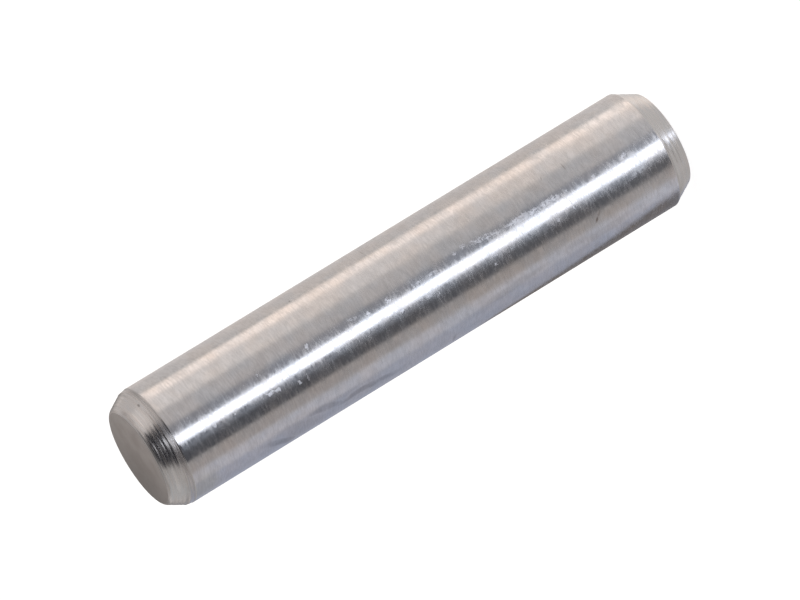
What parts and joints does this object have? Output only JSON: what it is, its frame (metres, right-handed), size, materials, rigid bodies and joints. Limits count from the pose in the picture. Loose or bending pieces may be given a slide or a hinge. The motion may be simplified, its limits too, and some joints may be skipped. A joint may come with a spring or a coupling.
{
  "type": "dowel pin",
  "caption": "Solid steel dowel pin with a ground cylindrical wall, a turned cone and a flat face at each end, pressed into a reamed hole to locate one part on another.",
  "frame": {"origin": "centre of the flat face that the pin stands on", "axes": "+Z along the pin's axis, from the plain foot end to the end with the lead ring"},
  "size_m": [0.008, 0.008, 0.039],
  "materials": {
    "ground_steel": "ground wall with fine lines around it, turned cones and faced ends"
  },
  "bodies": {
    "root": {"dowel_pin": "ground_steel"}
  },
  "joints": []
}
